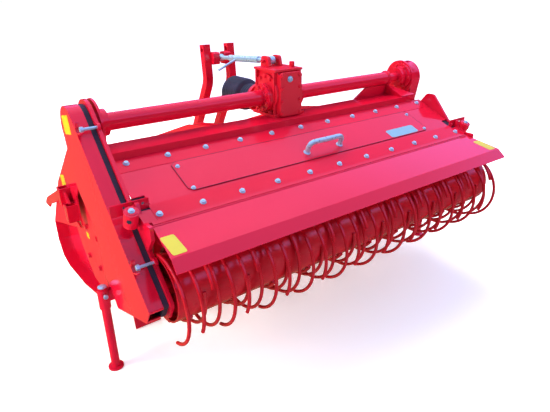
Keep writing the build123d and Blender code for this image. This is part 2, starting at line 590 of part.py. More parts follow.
def mast_uprights():
    line = shifted([MAST_TOP, MAST_KNEE, (0, 0)], PIVOT_Y, PIVOT_Z)
    pivot = Pos(PIVOT_Y, PIVOT_Z)
    face = trace(FilletPolyline(*line, radius=MAST_BEND_R), line_width=MAST_DEPTH)
    face += pivot * Circle(CROSSBAR_R + MAST_BOSS)
    face -= pivot * Circle(CROSSBAR_R + SLIDE_FIT)
    face -= pivot * Pos(*TOP_BORE) * Circle(TOP_BORE_R)
    left = across(face, -MAST_IN - MAST_W, -MAST_IN)
    return Compound([left, right_of(left)])


CHEEK = [(-22, -40), (40, -40), (40, 36), (-22, 36)]


def mast_clevis():
    face = outline(shifted(CHEEK, STAY_FRONT_Y, STAY_FRONT_Z), 14)
    block = across(face, -MAST_IN, -MAST_IN + CHEEK_T) + across(face, MAST_IN - CHEEK_T, MAST_IN)
    return block + rod(STAY_FRONT_Y, STAY_FRONT_Z, STAY_PIN_R, -MAST_IN, MAST_IN)


# Turnbuckle stay: a barrel with an eye on the gearbox lug, and a rod whose eye is on the mast's pin.
STAY_LINE = Vector(0, STAY_FRONT_Y - STAY_BACK_Y, STAY_FRONT_Z - STAY_BACK_Z)
STAY_AXIS = STAY_LINE.normalized()
BARREL_FROM, BARREL_L, BARREL_DEPTH, ROD_ENGAGED = 120, 320, 260, 200
TOMMY_AT, TOMMY_R, TOMMY_L, TOMMY_TURN = 359, 7, 150, 23


def stay_bar(radius, start, end):
    base = Vector(0, STAY_BACK_Y, STAY_BACK_Z) + STAY_AXIS * start
    return extrude(Plane(origin=base, x_dir=(1, 0, 0), z_dir=STAY_AXIS) * Circle(radius), amount=end - start)


def stay_barrel():
    end = BARREL_FROM + BARREL_L
    barrel = rod(STAY_BACK_Y, STAY_BACK_Z, STAY_EYE_R, -STAY_EYE_W / 2, STAY_EYE_W / 2)
    barrel += stay_bar(STAY_ROD_R, 0, BARREL_FROM + STAY_BARREL_R) + stay_bar(STAY_BARREL_R, BARREL_FROM, end)
    grip = Vector(0, STAY_BACK_Y, STAY_BACK_Z) + STAY_AXIS * TOMMY_AT
    barrel += Pos(grip) * Rot(Y=-TOMMY_TURN) * rod(0, 0, TOMMY_R, -TOMMY_L, 0)
    barrel -= rod(STAY_BACK_Y, STAY_BACK_Z, STAY_PIN_R + SLIDE_FIT, -STAY_EYE_W, STAY_EYE_W)
    return barrel - stay_bar(STAY_ROD_R + SLIDE_FIT, end - BARREL_DEPTH, end)


def stay_rod():
    length = STAY_LINE.length
    shaft = stay_bar(STAY_ROD_R, BARREL_FROM + BARREL_L - ROD_ENGAGED, length)
    shaft += rod(STAY_FRONT_Y, STAY_FRONT_Z, STAY_EYE_R, -STAY_EYE_W / 2, STAY_EYE_W / 2)
    return shaft - rod(STAY_FRONT_Y, STAY_FRONT_Z, STAY_PIN_R + PIN_PLAY, -STAY_EYE_W, STAY_EYE_W)


# Digging rotor: a tube with dished spades on arms, in rows spaced evenly round it.
SPADE_SET_BACK = 62
SPADE_DISH = 0.5, 16
SPADE_GRIND = 6


def spade():
    """One spade pointing down, drawn as (y, z) from the rotor's axis."""
    share, bow = SPADE_DISH
    root_z = -SPADE_R + SPADE_L
    front = [(0, -SPADE_R), (-bow, -SPADE_R + SPADE_L * share), (-SPADE_SET_BACK, root_z)]
    back = [(y - SPADE_T, z + SPADE_GRIND) for y, z in reversed(front)]
    blade = across(polygon(front + back), -SPADE_W / 2, SPADE_W / 2)
    inside = -ROTOR_TUBE_R + ROTOR_TUBE_WALL
    stem = polygon([(-SPADE_SET_BACK, root_z - 50), (-44, inside), (44, inside), (-bow - SPADE_T, root_z - 66)])
    return blade + across(stem, -SPADE_ARM_T / 2, SPADE_ARM_T / 2)


def digging_rotor():
    end = PLATE_IN - RUN_GAP
    cap = 20
    rotor = rod(0, 0, ROTOR_TUBE_R, -end, end)
    rotor -= rod(0, 0, ROTOR_TUBE_R - ROTOR_TUBE_WALL, -end + cap, end - cap)
    rotor += rod(0, 0, ROTOR_STUB_R, -PLATE_OUT, -end)
    rotor += rod(0, 0, ROTOR_STUB_R, end, PLATE_OUT + ROTOR_STUB_REACH)
    step = 360 / SPADE_ROWS
    blank = spade()
    spades = []
    for station in range(SPADE_STATIONS):
        x = (station - (SPADE_STATIONS - 1) / 2) * SPADE_PITCH
        for quarter in range(4):
            turn = quarter * 90 + (station % 2) * step - step / 2
            spades.append(Pos(x, 0, 0) * Rot(X=turn) * blank)
    return Pos(0, ROTOR_Y, ROTOR_Z) * rotor.fuse(*spades)


# Spike roller: a drum with hooked tines, two opposite ones at each station, stepping round along it.
TINE_SUNK = 2
TINE_ROOT_R = DRUM_R + TINE_D / 2 - TINE_SUNK
TINE_ARC_R = (TINE_ROOT_R + TINE_TIP_R) / 2
TINE_OFFSET = (TINE_TIP_R - TINE_ROOT_R) / 2


def tine():
    """A bar bent to a half circle from the drum's skin out to its tip, in straight facets."""
    def arc(radius):
        turns = [radians(-TINE_SWEEP * facet / TINE_FACETS) for facet in range(TINE_FACETS + 1)]
        return [(-TINE_OFFSET - radius * cos(turn), -radius * sin(turn)) for turn in turns]

    edge = arc(TINE_ARC_R + TINE_D / 2) + arc(TINE_ARC_R - TINE_D / 2)[::-1]
    return across(polygon(edge), -TINE_D / 2, TINE_D / 2)


END_DISC_T, END_DISC_IN = 20, 40


def spike_roller():
    drum = rod(0, 0, DRUM_R, -DRUM_HALF, DRUM_HALF) - rod(0, 0, DRUM_R - DRUM_WALL, -DRUM_HALF, DRUM_HALF)
    for side in (-1, 1):
        face = side * (DRUM_HALF - END_DISC_IN)
        drum += rod(0, 0, DRUM_R - DRUM_WALL / 2, face - side * END_DISC_T, face)
        drum += rod(0, 0, ROLLER_STUB_R, face - side * END_DISC_T / 2, side * PLATE_OUT)
    blank = tine()
    tines = []
    for station in range(TINE_STATIONS):
        x = (station - (TINE_STATIONS - 1) / 2) * TINE_PITCH
        turn = TINE_FIRST_TIP + TINE_STEPS[station % len(TINE_STEPS)]
        for half in (0, 180):
            tines.append(Pos(x, 0, 0) * Rot(X=turn + half) * blank)
    return Pos(0, ROLLER_Y, ROLLER_Z) * drum.fuse(*tines)


# Stands: a sleeve on each side plate and a leg with a round foot that slides up in it.
STAND_ARM_W, STAND_ARM_H, STAND_ARM_DROP = 30, 60, 40


def stand_bracket_left():
    sleeve = upright(-STAND_X, STAND_Y, SLEEVE_R, SLEEVE_TOP - SLEEVE_L, SLEEVE_TOP)
    middle = Pos(-(PLATE_OUT + STAND_X) / 2, STAND_Y, SLEEVE_TOP - STAND_ARM_DROP)
    arm = middle * Box(STAND_X - PLATE_OUT, STAND_ARM_W, STAND_ARM_H)
    return sleeve + arm - upright(-STAND_X, STAND_Y, LEG_R + SLIDE_FIT, 0, 2 * SLEEVE_TOP)


def stand_leg_left():
    return upright(-STAND_X, STAND_Y, LEG_R, FOOT_T, LEG_TOP) + upright(-STAND_X, STAND_Y, FOOT_R, 0, FOOT_T)


# Pieces on the left that have a mirrored twin on the right.
PAIRS = {
    "hitch_arm": hitch_arm_left(),
    "flap_stop": flap_stop_left(),
    "hinge_socket": hinge_socket_left(),
    "stand_bracket": stand_bracket_left(),
    "stand_leg": stand_leg_left(),
}

# Every node of the machine.
NODES = {
    "main_beam": main_beam(),
    "side_plate_left": side_plate_left(),
    "side_plate_right": side_plate_right(),
    "drive_tube_left": drive_tube_left(),
    "drive_tube_right": drive_tube_right(),
    "tube_gusset_right": tube_gusset_right(),
    "left_chain_cover": left_chain_cover(),
    "left_seal": left_seal(),
    "rotor_chain_case": rotor_chain_case(),
    "rotor_bearing_left": rotor_bearing_left(),
    "roller_bearing_right": roller_bearing_right(),
    "side_bracket_left": side_bracket_left(),
    "hood_deck": hood_deck(),
    "hood_strip_upper": hood_strip(0),
    "hood_strip_lower": hood_strip(ROWS.length),
    "hatch_cover": hatch_cover(),
    "hatch_handle": hatch_handle(),
    "front_hood": front_hood(),
    "gearbox_housing": gearbox_housing(),
    "gearbox_rear_cover": gearbox_rear_cover(),
    "gearbox_top_plate": gearbox_top_plate(),
    "pto_guard": pto_guard(),
    "pto_shaft": pto_shaft(),
    "hitch_crossbar": hitch_crossbar(),
    "mast_uprights": mast_uprights(),
    "mast_clevis": mast_clevis(),
    "stay_barrel": stay_barrel(),
    "stay_rod": stay_rod(),
    "digging_rotor": digging_rotor(),
    "spike_roller": spike_roller(),
    "rear_flap": rear_flap(),
}
for name, left in PAIRS.items():
    NODES[f"{name}_left"] = left
    NODES[f"{name}_right"] = right_of(left)

os.makedirs("parts", exist_ok=True)
for name, solid in NODES.items():
    export_step(solid, f"parts/{name}.step")
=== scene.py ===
import json
import bmesh
import bpy
import numpy as np
from mathutils import Matrix, Vector

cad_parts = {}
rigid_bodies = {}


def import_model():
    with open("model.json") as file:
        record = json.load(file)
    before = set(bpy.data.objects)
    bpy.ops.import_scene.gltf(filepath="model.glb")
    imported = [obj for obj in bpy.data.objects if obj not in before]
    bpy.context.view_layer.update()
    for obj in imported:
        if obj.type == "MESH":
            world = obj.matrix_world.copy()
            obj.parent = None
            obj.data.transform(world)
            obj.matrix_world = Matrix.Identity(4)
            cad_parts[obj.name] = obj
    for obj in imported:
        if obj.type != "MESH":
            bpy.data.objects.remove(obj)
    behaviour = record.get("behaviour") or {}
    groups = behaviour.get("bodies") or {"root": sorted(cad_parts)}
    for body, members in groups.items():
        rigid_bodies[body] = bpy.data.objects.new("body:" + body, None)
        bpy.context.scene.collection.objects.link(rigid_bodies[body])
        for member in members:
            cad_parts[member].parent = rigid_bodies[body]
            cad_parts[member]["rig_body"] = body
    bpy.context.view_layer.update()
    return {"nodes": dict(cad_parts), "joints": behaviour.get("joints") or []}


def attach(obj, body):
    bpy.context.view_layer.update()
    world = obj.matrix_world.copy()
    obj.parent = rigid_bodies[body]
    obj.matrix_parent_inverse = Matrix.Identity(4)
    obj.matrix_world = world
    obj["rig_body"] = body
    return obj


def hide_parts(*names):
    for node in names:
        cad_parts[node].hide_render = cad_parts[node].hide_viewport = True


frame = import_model()
nodes = frame["nodes"]
joints = {joint["name"]: joint for joint in frame["joints"]}

# Camera. It looks down on the hood from behind the machine's left end and from a little above it, through a
# wide lens, and its horizon leans by less than a degree.
EYE = (-1.6798, -2.2975, 1.7318)
YAW, PITCH, ROLL = np.radians((36.478, 23.921, 0.644))
LENS_MM = 31.60
look = np.array((np.sin(YAW) * np.cos(PITCH), np.cos(YAW) * np.cos(PITCH), -np.sin(PITCH)))
level = np.array((np.cos(YAW), -np.sin(YAW), 0.0))
below = np.cross(look, level)
across = np.cos(ROLL) * level + np.sin(ROLL) * below
upward = np.sin(ROLL) * level - np.cos(ROLL) * below
camera = bpy.data.objects.new("camera", bpy.data.cameras.new("camera"))
camera.data.lens = LENS_MM
camera_rows = np.column_stack((across, upward, -look, EYE))
camera.matrix_world = Matrix(np.vstack((camera_rows, (0, 0, 0, 1))).tolist())
bpy.context.scene.collection.objects.link(camera)
bpy.context.scene.camera = camera
bpy.context.scene.view_settings.view_transform = "Standard"

# Lamps. Large soft boxes overhead, ahead and to the left, where the light is warmer, and a weak one behind.
# The paint doesn't mirror them.
# Lamp columns: name, place, aimed-at point, edge lengths, watts, colour.
LAMPS = (
    ("overhead", (0.5, 1.2, 4.2), (0, 0, 0.8), (4.0, 3.0), 245, (1.0, 0.97, 0.97)),
    ("front", (0.2, 4.6, 2.9), (0, 0, 1.0), (3.0, 1.2), 120, (1.0, 0.95, 0.92)),
    ("left", (-4.6, 0.4, 2.0), (0, 0, 0.8), (2.0, 1.6), 220, (1.0, 0.90, 0.78)),
    ("behind", (2.6, -4.2, 2.6), (0, 0, 0.8), (3.0, 1.6), 62, (1.0, 0.95, 0.94)),
)
for lamp_name, lamp_at, lamp_to, lamp_edges, lamp_watts, lamp_colour in LAMPS:
    lamp = bpy.data.objects.new(lamp_name, bpy.data.lights.new(lamp_name, "AREA"))
    lamp.data.shape = "RECTANGLE"
    lamp.data.size, lamp.data.size_y = lamp_edges
    lamp.data.energy = lamp_watts
    lamp.data.color = lamp_colour
    aim = Vector(lamp_at) - Vector(lamp_to)
    lamp.matrix_world = Matrix.Translation(lamp_at) @ aim.to_track_quat("Z", "Y").to_matrix().to_4x4()
    lamp.visible_glossy = False
    bpy.context.scene.collection.objects.link(lamp)

# Floor and backdrop. A pale studio floor that glows more with distance, so that it fades into a white dome
# round it. Only the camera sees the dome.
FLOOR_HALF = 300.0
FLOOR_LIGHT, FLOOR_DARK = (0.92, 0.94, 0.84, 1), (0.89, 0.91, 0.81, 1)
GLOW_NEAR, GLOW_FAR = (0.42, 0.45, 0.42, 1), (0.90, 0.90, 0.90, 1)
GLOW_FROM, GLOW_TO = 1.2, 5.0
DOME_R, DOME_FOOT, DOME_ROWS, DOME_SIDES, DOME_GLOW = 120.0, -0.01, 13, 48, 1.05
DOME_LIGHT, DOME_DARK = (1.0, 1.0, 1.0, 1), (0.97, 0.97, 0.97, 1)


class Sock:
    """One output of a material's nodes. Arithmetic on it adds Math nodes, and node() adds any other."""

    def __init__(self, tree, socket=None):
        self.tree = tree
        self.socket = socket

    def node(self, kind, settings=None, inputs=None, out=0):
        added = self.tree.nodes.new(kind)
        for key, value in (settings or {}).items():
            if key == "stops":
                stops = added.color_ramp.elements
                while len(stops) < len(value):
                    stops.new(1.0)
                for stop, (place, colour) in zip(stops, value):
                    stop.position = place
                    stop.color = colour
            else:
                setattr(added, key, value)
        for key, value in (inputs or {}).items():
            if isinstance(value, Sock):
                self.tree.links.new(value.socket, added.inputs[key])
            else:
                added.inputs[key].default_value = value
        return Sock(self.tree, added.outputs[out])

    def math(self, operation, first, second):
        return self.node("ShaderNodeMath", {"operation": operation}, {0: first, 1: second})

    def __add__(self, other):
        return self.math("ADD", self, other)

    def __radd__(self, other):
        return self.math("ADD", other, self)

    def __mul__(self, other):
        return self.math("MULTIPLY", self, other)

    def __rmul__(self, other):
        return self.math("MULTIPLY", other, self)

    def noise(self, scale, detail):
        """Cloudy values on the piece's own coordinates, in patches about 1/scale metres across."""
        place = self.node("ShaderNodeTexCoord", out="Object")
        return self.node("ShaderNodeTexNoise", inputs={"Vector": place, "Scale": scale, "Detail": detail})

    def between(self, first, second, share):
        """A colour that goes from the first to the second as share goes from 0 to 1."""
        return self.node("ShaderNodeMix", {"data_type": "RGBA"}, {0: share, 6: first, 7: second}, out=2)

    def bump(self, height, strength, distance):
        dents = {"Strength": strength, "Distance": distance, "Height": height}
        return self.node("ShaderNodeBump", inputs=dents)


def finish(name, constants, varying):
    """A Principled material: constants go on its sockets, varying(start) gives what changes over it."""
    material = bpy.data.materials.new(name)
    material.use_nodes = True
    shader = material.node_tree.nodes["Principled BSDF"]
    for key, value in constants.items():
        shader.inputs[key].default_value = value
    start = Sock(material.node_tree)
    for key, value in varying(start).items():
        material.node_tree.links.new(value.socket, shader.inputs[key])
    return material


def floor_glow(start):
    place = start.node("ShaderNodeTexCoord", out="Object")
    away = start.node("ShaderNodeVectorMath", {"operation": "LENGTH"}, {0: place}, out="Value")
    spread = {"Value": away, "From Min": GLOW_FROM, "From Max": GLOW_TO}
    share = start.node("ShaderNodeMapRange", inputs=spread)
    return {"Base Color": start.between(FLOOR_DARK, FLOOR_LIGHT, start.noise(scale=3.0, detail=4.0)),
            "Emission Color": start.between(GLOW_NEAR, GLOW_FAR, share)}


def dome_glow(start):
    return {"Emission Color": start.between(DOME_DARK, DOME_LIGHT, start.noise(scale=0.01, detail=1.0))}


def quads(rows, columns):
    """Faces of a grid of points with its columns joined round."""
    here = np.arange(rows * columns).reshape(rows, columns)
    here = np.column_stack((here, here[:, :1]))
    return np.stack((here[:-1, :-1], here[:-1, 1:], here[1:, 1:], here[1:, :-1]), -1).reshape(-1, 4)


def even_turn(sides, first=0.0):
    """Angles that share a full turn evenly, from the first."""
    return np.arange(sides) * 2 * np.pi / sides + first


def staged(name, points, faces, material):
    mesh = bpy.data.meshes.new(name)
    mesh.from_pydata(points.tolist(), [], faces.tolist())
    mesh.materials.append(material)
    thing = bpy.data.objects.new(name, mesh)
    thing.visible_glossy = False
    bpy.context.scene.collection.objects.link(thing)
    return thing


corners = FLOOR_HALF * np.array(((-1, -1, 0), (1, -1, 0), (1, 1, 0), (-1, 1, 0)))
pale_floor = finish("pale floor", {"Roughness": 0.7, "Emission Strength": 1.0}, floor_glow)
staged("floor", corners, np.arange(4)[None], pale_floor)
turn, rise = np.meshgrid(even_turn(DOME_SIDES), np.linspace(DOME_FOOT, np.pi / 2, DOME_ROWS))
dome = DOME_R * np.stack((np.cos(turn) * np.cos(rise), np.sin(turn) * np.cos(rise), np.sin(rise)), -1)
white = {"Base Color": (0, 0, 0, 1), "Roughness": 1.0, "Emission Strength": DOME_GLOW}
backdrop = staged("backdrop", dome.reshape(-1, 3), quads(DOME_ROWS, DOME_SIDES)[:, ::-1],
                  finish("white backdrop", white, dome_glow))
backdrop.visible_diffuse = backdrop.visible_shadow = False

# Sky. It is what the paint mirrors: dark at the horizon, a violet band above that, blue overhead, and below
# the horizon a ground that is warmer ahead of the machine than behind it.
# Sky columns: place from straight down at 0 to straight up at 1, colour.
SKY = ((0.0, (0.03, 0.02, 0.03, 1)), (0.5, (0.03, 0.02, 0.03, 1)), (0.655, (0.04, 0.02, 0.04, 1)),
       (0.715, (1.0, 0.56, 1.7, 1)), (0.80, (0.36, 0.42, 0.97, 1)), (1.0, (0.34, 0.46, 0.95, 1)))
GROUND_BEHIND, GROUND_AHEAD = (0.10, 0.06, 0.11, 1), (0.40, 0.17, 0.08, 1)
GROUND_FROM, GROUND_FULL = -0.02, -0.2
AHEAD_SPREAD, AHEAD_MIDDLE = 0.8, 0.4
world = bpy.data.worlds.new("studio")
world.use_nodes = True
bpy.context.scene.world = world
air = Sock(world.node_tree)
direction = air.node("ShaderNodeTexCoord", out="Generated")
height = air.node("ShaderNodeSeparateXYZ", inputs={"Vector": direction}, out="Z")
ahead = air.node("ShaderNodeSeparateXYZ", inputs={"Vector": direction}, out="Y")
ground_spread = {"Value": height, "From Min": GROUND_FROM, "From Max": GROUND_FULL}
ground_share = air.node("ShaderNodeMapRange", inputs=ground_spread)
ground = air.between(GROUND_BEHIND, GROUND_AHEAD, ahead * AHEAD_SPREAD + AHEAD_MIDDLE)
dome_sky = air.node("ShaderNodeValToRGB", {"stops": SKY}, {"Fac": height * 0.5 + 0.5})
sky_light = world.node_tree.nodes["Background"]
world.node_tree.links.new(air.between(dome_sky, ground, ground_share).socket, sky_light.inputs["Color"])
sky_light.inputs["Strength"].default_value = 1.0

# Side plates. Laser-cut 16 mm steel plate with a bent rim welded round its lower front corner, sprayed with
# a glossy red enamel, so that every cut edge is a little rounded by the paint.
RED, RED_DEEP = (0.64, 0.005, 0.028, 1), (0.56, 0.004, 0.022, 1)
EDGE_ROUND, EDGE_STEPS = 0.0016, 2
SHARP_ABOVE, FLAT_WITHIN = np.radians(32), np.radians(0.6)
SAME_CAD_POINT, SAME_POINT = 1e-5, 1e-6


def clouded(dark, light, cloud, rough, skin=None):
    """What a finish changes over its surface.

    cloud is a noise's scale and detail. It goes between the two colours, and the roughness is its first value
    plus its second times that noise. skin is a bump from a finer noise: scale, detail, strength and depth.
    """
    def varying(start):
        share = start.noise(*cloud)
        changing = {"Base Color": start.between(dark, light, share), "Roughness": share * rough[1] + rough[0]}
        if skin:
            fine, detail, strength, depth = skin
            changing["Normal"] = start.bump(start.noise(fine, detail), strength, depth)
        return changing
    return varying


def soften(node, material, width=EDGE_ROUND):
    """The CAD piece's own surface, its corner edges rounded by a small bevel, in place of the sharp one."""
    part = bmesh.new()
    part.from_mesh(nodes[node].data)
    bmesh.ops.remove_doubles(part, verts=part.verts, dist=SAME_CAD_POINT)
    bmesh.ops.dissolve_limit(part, angle_limit=FLAT_WITHIN, verts=part.verts, edges=part.edges)
    mesh = bpy.data.meshes.new(node + "_skin")
    part.to_mesh(mesh)
    part.free()
    mesh.shade_smooth()
    mesh.set_sharp_from_angle(angle=SHARP_ABOVE)
    mesh.materials.clear()
    mesh.materials.append(material)
    piece = bpy.data.objects.new(node + "_skin", mesh)
    bpy.context.scene.collection.objects.link(piece)
    bevel = piece.modifiers.new("rounded edges", "BEVEL")
    bevel.width = width
    bevel.segments = EDGE_STEPS
    bevel.limit_method = "ANGLE"
    bevel.angle_limit = SHARP_ABOVE
    bevel.harden_normals = True
    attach(piece, nodes[node]["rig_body"])
    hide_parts(node)
    return piece


enamel = clouded(RED_DEEP, RED, cloud=(2.2, 3.0), rough=(0.1, 0.1), skin=(210.0, 1.0, 0.06, 0.0006))
paint = finish("red enamel", {"Coat Weight": 0.5, "Coat Roughness": 0.05, "Specular IOR Level": 0.5}, enamel)
for node in ("side_plate_left", "side_plate_right"):
    soften(node, paint)

# Main beam, drive tubes and gussets. Square and round steel tube, welded to the side plates and to each other
# with a round bead at every joint, and sprayed with the frame.
TUBE_AT = (-0.075, 1.192)
BEAD_R, BEAD_SIDES, BEAD_STEPS = 0.0045, 8, 145
BEAD_RIPPLES, RIPPLE_SHARE = 46, 0.12
# Bead columns: x, radius of the tube or disc that it runs round.
BEADS = ((-1.0375, 0.0585), (-1.0135, 0.042), (-0.1265, 0.042),
         (0.1265, 0.042), (0.8945, 0.042), (1.0455, 0.0605))
FRAME_BODY = "hood_frame"
RIGHT = np.array((1.0, 0, 0))
satin_paint = finish("red enamel on flat bar", {"Coat Weight": 0.15, "Specular IOR Level": 0.3}, enamel)
soften("main_beam", satin_paint)
for node in ("drive_tube_left", "drive_tube_right", "tube_gusset_right"):
    soften(node, paint)


def carried(profile, path, side, sizes=1.0):
    """A closed profile carried along a path: each path point plus size times (profile 1 on n, 2 on b).

    b is the side direction squared to the path's tangent t, and n is b cross t. The ends shrink to a point,
    or meet where the path comes back to its first point.
    """
    path = np.asarray(path, float)
    tangent = np.gradient(path, axis=0)
    looped = np.allclose(path[0], path[-1])
    if looped:
        tangent[[0, -1]] = path[1] - path[-2]
    tangent /= np.linalg.norm(tangent, axis=1, keepdims=True)
    over = side - tangent * (tangent @ side)[:, None]
    over /= np.linalg.norm(over, axis=1, keepdims=True)
    out = np.cross(over, tangent)
    reach = profile[None, :, :1] * out[:, None] + profile[None, :, 1:] * over[:, None]
    rows = path[:, None] + np.broadcast_to(sizes, len(path))[:, None, None] * reach
    if not looped:
        first, last = (np.broadcast_to(path[end, None, None], rows[:1].shape) for end in (0, -1))
        rows = np.concatenate((first, rows, last))
    return rows.reshape(-1, 3), quads(len(rows), len(profile))


def ring_of(radius, sides):
    """Points of a circle, radius times cosine and sine of even angles."""
    return radius * np.column_stack((np.cos(even_turn(sides)), np.sin(even_turn(sides))))


def circle_at(x, middle, radius, turn):
    """Points of an upright circle at x: its middle in y and z plus radius times cosine and sine."""
    return np.column_stack((np.full(len(turn), x), middle[0] + radius * np.cos(turn),
                            middle[1] + radius * np.sin(turn)))


def made(name, shapes, material, body):
    """One object from several point and face arrays, its doubled points merged."""
    all_points, all_faces = zip(*shapes)
    starts = np.cumsum([0] + [len(points) for points in all_points[:-1]])
    points = np.concatenate(all_points)
    faces = np.concatenate([faces + start for faces, start in zip(all_faces, starts)])
    mesh = bpy.data.meshes.new(name)
    mesh.from_pydata(points.tolist(), [], faces.tolist())
    part = bmesh.new()
    part.from_mesh(mesh)
    bmesh.ops.remove_doubles(part, verts=part.verts, dist=SAME_POINT)
    bmesh.ops.dissolve_degenerate(part, dist=SAME_POINT, edges=part.edges)
    part.to_mesh(mesh)
    part.free()
    mesh.shade_smooth()
    mesh.set_sharp_from_angle(angle=SHARP_ABOVE)
    mesh.materials.append(material)
    piece = bpy.data.objects.new(name, mesh)
    bpy.context.scene.collection.objects.link(piece)
    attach(piece, body)
    return piece


def round_bead(x, radius):
    """A weld bead round the drive tube: a small circle carried round a large one, its size rippled."""
    turn = np.linspace(0, 2 * np.pi, BEAD_STEPS)
    ripple = 1 + RIPPLE_SHARE * np.sin(BEAD_RIPPLES * turn)
    return carried(ring_of(BEAD_R, BEAD_SIDES), circle_at(x, TUBE_AT, radius, turn), RIGHT, ripple)


made("tube_beads", [round_bead(x, radius) for x, radius in BEADS], paint, FRAME_BODY)

# Collar on the left drive tube. A turned steel ring with a rounded inner edge, clamped round the tube's
# flange beside the chain case and sprayed with the frame.
COLLAR_FROM, COLLAR_TO, COLLAR_BORE, COLLAR_R, COLLAR_EDGE = -1.041, -0.999, 0.040, 0.062, 0.002
COLLAR_SIDES = 64
# Collar columns: x, radius.
COLLAR = ((COLLAR_FROM, COLLAR_BORE), (COLLAR_FROM, COLLAR_R), (COLLAR_TO - COLLAR_EDGE, COLLAR_R),
          (COLLAR_TO, COLLAR_R - COLLAR_EDGE), (COLLAR_TO, COLLAR_BORE), (COLLAR_FROM, COLLAR_BORE))
collar = np.concatenate([circle_at(x, TUBE_AT, radius, even_turn(COLLAR_SIDES)) for x, radius in COLLAR])
made("tube_collar", [(collar, quads(len(COLLAR), COLLAR_SIDES))], paint, FRAME_BODY)

# Hood deck, its bolted strips and the hatch. Folded 6 mm sheet between the side plates, two flat bars along
# it with eleven bolts each, and an access hatch, all in the same enamel, with a black rubber cord round the
# hatch's edge that draws its seam as a dark line: painted shade of the gap.
ROW_1 = np.array((0, -0.273, 1.042))
ROW_RUN, ROW_DROP = 0.3170, 0.1300
ROW_GAP = np.hypot(ROW_RUN, ROW_DROP)
SLOPE = np.array((0, -ROW_RUN, -ROW_DROP)) / ROW_GAP
RISE = np.array((0, SLOPE[2], -SLOPE[1]))
SHEET_ROUND = 0.001
STRIP_T, HATCH_T = 0.0016, 0.004
# Strip columns: node, from and to down the slope, half length.
STRIPS = (("hood_strip_upper", -0.034, 0.055, 1.062), ("hood_strip_lower", 0.277, 0.3724, 1.020))
STRIP_BOLTS, STRIP_BOLT, STRIP_BOLT_HALF = 11, 0.012, 1.0
HATCH_BOLT, HATCH_BOLT_X, HATCH_BOLT_ALONG = 0.009, (-0.797, 0.797), (0.0935, 0.249)
HATCH_HALF, HATCH_FROM, HATCH_TO, HATCH_CORNER = 0.820, 0.058, 0.262, 0.022
CORD_R, CORD_SIDES, CORD_UP = 0.0012, 8, 0.0036
BOLT_SIDES, BOLT_SUNK = 36, 0.0005
# Bolt columns: radius and height in thread sizes, share of the hexagon.
BOLT = ((1.2, 0, 0), (1.2, 0.17, 0), (1.14, 0.2, 0), (0.95, 0.21, 0), (0.95, 0.215, 1), (0.95, 0.72, 1),
        (0.82, 0.86, 0.4), (0.8, 0.87, 0), (0, 0.87, 0))
# Both zinc colours are tinted cyan as a painted reflection of a blue sky, and a noise mixes the two.
ZINC, ZINC_SKY_BLUE = (0.52, 0.84, 0.92, 1), (0.38, 0.68, 0.80, 1)
# The paler, bluer rubber colour that a noise mixes in is a painted bluish sheen.
RUBBER, RUBBER_BLUE_SHEEN = (0.012, 0.014, 0.022, 1), (0.03, 0.034, 0.05, 1)
for node in ("hood_deck", "hatch_cover"):
    soften(node, paint, SHEET_ROUND)


def on_deck(spots):
    """Places on the hood from columns of x, distance down the slope from the first bolt row, and height."""
    spots = np.asarray(spots, float)
    return ROW_1 + spots[:, :1] * RIGHT + spots[:, 1:2] * SLOPE + spots[:, 2:] * RISE


def along_deck(first, last, down, high):
    """A straight line across the slope, as four points from one x to the other."""
    return on_deck([(x, down, high) for x in np.linspace(first, last, 4)])


def bar(half_wide, half_thick):
    """Corners of a flat bar's section."""
    return np.array(((-1, -1), (1, -1), (1, 1), (-1, 1))) * (half_wide, half_thick)


def turned(rings, sides, ended=True):
    """A surface of revolution round z whose rings can be hexagons. Ring columns: radius r, height, share f.

    The radius is r times (1 - f) + f cos 30 / cos b at every angle, where b is the angle from the middle of
    its sixth of the turn. A point on the axis closes each end, unless the rings come back to the first one.
    """
    rings = np.asarray(rings, float)
    if ended:
        rings = np.vstack((rings[:1] * (0, 1, 0), rings, rings[-1:] * (0, 1, 0)))
    turn = even_turn(sides)
    flats = np.cos(np.pi / 6) / np.cos(np.mod(turn, np.pi / 3) - np.pi / 6)
    reach = rings[:, :1] * (1 + rings[:, 2:] * (flats[None] - 1))
    high = np.broadcast_to(rings[:, 1:2], reach.shape)
    points = np.stack((reach * np.cos(turn), reach * np.sin(turn), high), -1)
    return points.reshape(-1, 3), quads(len(rings), sides)


def set_on(shape, spots, normals):
    """Copies of a shape with its z along each spot's normal."""
    points, faces = shape
    spots = np.atleast_2d(spots)
    up = np.broadcast_to(normals, spots.shape)
    up = up / np.linalg.norm(up, axis=1, keepdims=True)
    hint = np.where(np.abs(up[:, :1]) > 0.9, ((0.0, 0, 1),), ((1.0, 0, 0),))
    first = np.cross(hint, up)
    first /= np.linalg.norm(first, axis=1, keepdims=True)
    basis = np.stack((first, np.cross(up, first), up), 1)
    every = spots[:, None] + np.einsum("pk,skx->spx", points, basis)
    shifted = faces[None] + len(points) * np.arange(len(spots))[:, None, None]
    return every.reshape(-1, 3), shifted.reshape(-1, 4)


def hex_bolt(size):
    """A hexagon bolt's head on its washer for a thread of that size, sunk a little into its seat."""
    rings = np.array(BOLT) * (size, size, 1)
    rings[0, 1] = -BOLT_SUNK
    return turned(rings, BOLT_SIDES)


